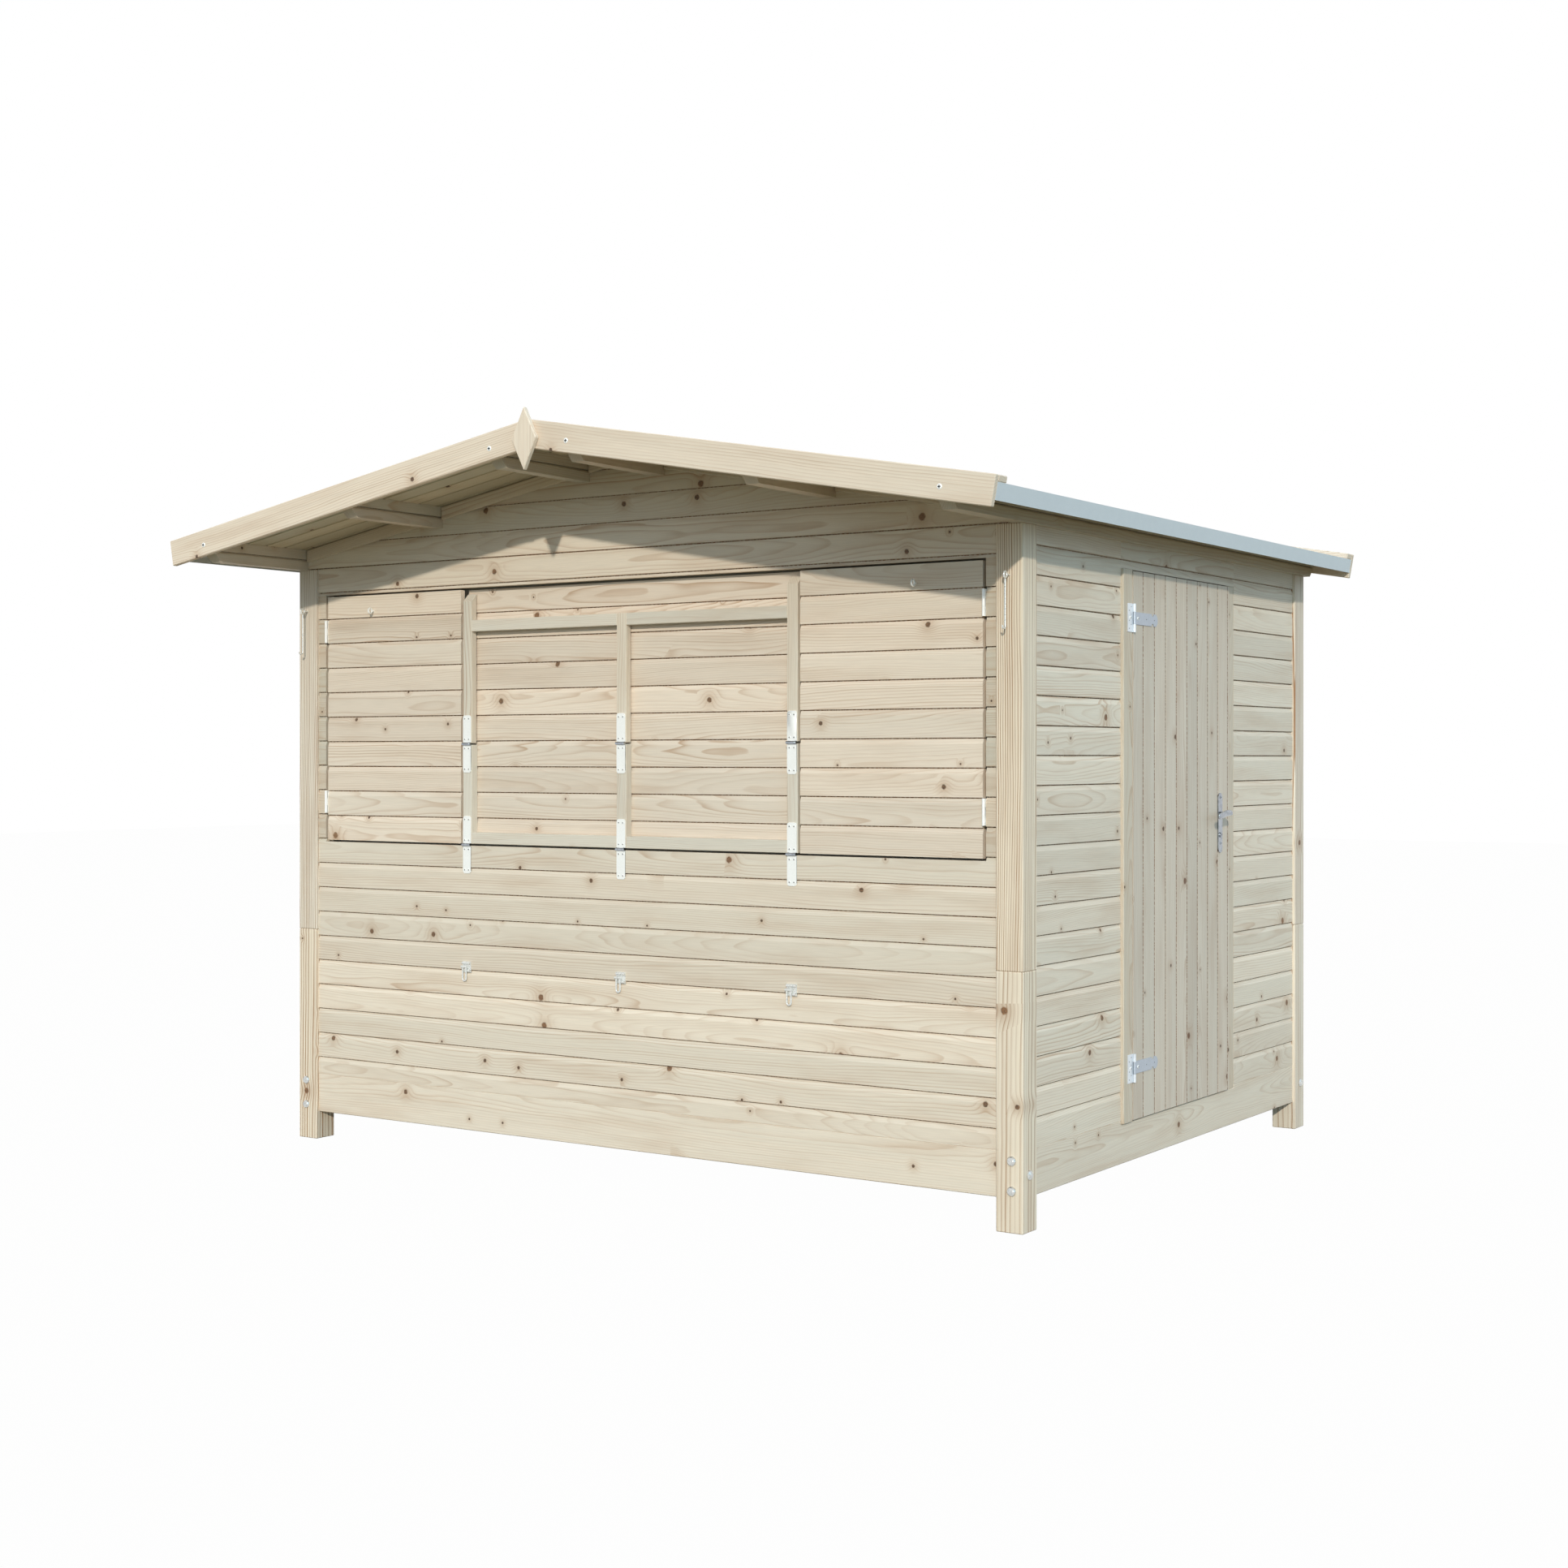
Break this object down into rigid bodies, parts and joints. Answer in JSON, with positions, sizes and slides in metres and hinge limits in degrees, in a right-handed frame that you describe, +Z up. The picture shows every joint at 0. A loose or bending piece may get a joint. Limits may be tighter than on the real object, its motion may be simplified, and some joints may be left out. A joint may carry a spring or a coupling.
{
  "type": "wooden market hut",
  "caption": "Boarded wooden market hut on corner posts with a low gable roof, side-hung shutters, a side door and a fold-down counter on a hinged brace frame.",
  "frame": {"origin": "on the ground, under the middle of the hut's overall box", "axes": "+Z up, the front with the shutters and counter faces -Y, +X to the right seen from the front"},
  "size_m": [3.324, 2.888, 2.5029],
  "materials": {
    "post_wood": "planed, untreated",
    "wall_wood": "planed, untreated",
    "frame_wood": "planed, untreated",
    "floor_wood": "planed, untreated",
    "roof_wood": "planed, untreated",
    "trim_wood": "planed, untreated",
    "leaf_wood": "planed, untreated",
    "batten_wood": "planed, untreated",
    "roof_sheet": "satin coated sheet",
    "zinc": "zinc plated",
    "bright_metal": "satin bright"
  },
  "bodies": {
    "hut": {"front_left_post": "post_wood", "front_right_post": "post_wood", "rear_left_post": "post_wood", "rear_right_post": "post_wood", "front_skirt": "wall_wood", "rear_skirt": "wall_wood", "left_skirt": "wall_wood", "right_skirt": "wall_wood", "front_wall": "wall_wood", "front_gable": "wall_wood", "rear_wall": "wall_wood", "left_wall": "wall_wood", "right_wall_front": "wall_wood", "right_wall_rear": "wall_wood", "right_wall_over_door": "wall_wood", "floor_frame": "frame_wood", "left_jamb": "frame_wood", "right_jamb": "frame_wood", "opening_rails": "frame_wood", "door_hinge_jamb": "frame_wood", "door_latch_jamb": "frame_wood", "left_eave_purlin": "frame_wood", "right_eave_purlin": "frame_wood", "left_mid_purlin": "frame_wood", "right_mid_purlin": "frame_wood", "left_ridge_purlin": "frame_wood", "right_ridge_purlin": "frame_wood", "floor_boards": "floor_wood", "left_roof_deck": "roof_wood", "right_roof_deck": "roof_wood", "front_left_barge": "trim_wood", "front_right_barge": "trim_wood", "rear_left_barge": "trim_wood", "rear_right_barge": "trim_wood", "front_cap_strips": "trim_wood", "rear_cap_strips": "trim_wood", "finial": "trim_wood", "left_roof_sheet": "roof_sheet", "right_roof_sheet": "roof_sheet", "door_hinge_plates": "zinc", "jamb_hinge_leaves": "zinc", "sill_hinge_leaves": "zinc", "brace_latches": "zinc", "cabin_hooks": "zinc"},
    "door": {"door_leaf": "leaf_wood", "door_hinge_straps": "zinc", "door_lock_plate": "bright_metal"},
    "door_lever": {"door_lever": "bright_metal"},
    "left_shutter": {"left_shutter": "leaf_wood", "left_shutter_fittings": "zinc"},
    "right_shutter": {"right_shutter": "leaf_wood", "right_shutter_fittings": "zinc"},
    "counter": {"counter_panel": "leaf_wood", "counter_battens": "batten_wood", "counter_hinge_leaves": "zinc"},
    "brace": {"brace_frame": "batten_wood", "brace_hinge_leaves": "zinc"}
  },
  "joints": [
    {"name": "door_swing", "type": "hinge", "parent": "hut", "child": "door", "pos_m": [1.5054, -0.1925, 1.1], "axis": [0, 0, -1], "range_deg": [0, 165]},
    {"name": "door_lever_turn", "type": "hinge", "parent": "door", "child": "door_lever", "pos_m": [1.5, 0.522, 1.205], "axis": [1, 0, 0], "range_deg": [0, 40], "stiffness_Nm_per_rad": 2, "springref_deg": -17.19},
    {"name": "left_shutter_swing", "type": "hinge", "parent": "hut", "child": "left_shutter", "pos_m": [-1.3664, -0.9514, 1.545], "axis": [0, 0, -1], "range_deg": [0, 120]},
    {"name": "right_shutter_swing", "type": "hinge", "parent": "hut", "child": "right_shutter", "pos_m": [1.3664, -0.9514, 1.545], "axis": [0, 0, 1], "range_deg": [0, 120]},
    {"name": "counter_fold", "type": "hinge", "parent": "hut", "child": "counter", "pos_m": [0, -0.9514, 1.0975], "axis": [1, 0, 0], "range_deg": [0, 90]},
    {"name": "brace_fold", "type": "hinge", "parent": "counter", "child": "brace", "pos_m": [0, -0.9514, 1.44949], "axis": [1, 0, 0], "range_deg": [0, 135]}
  ]
}
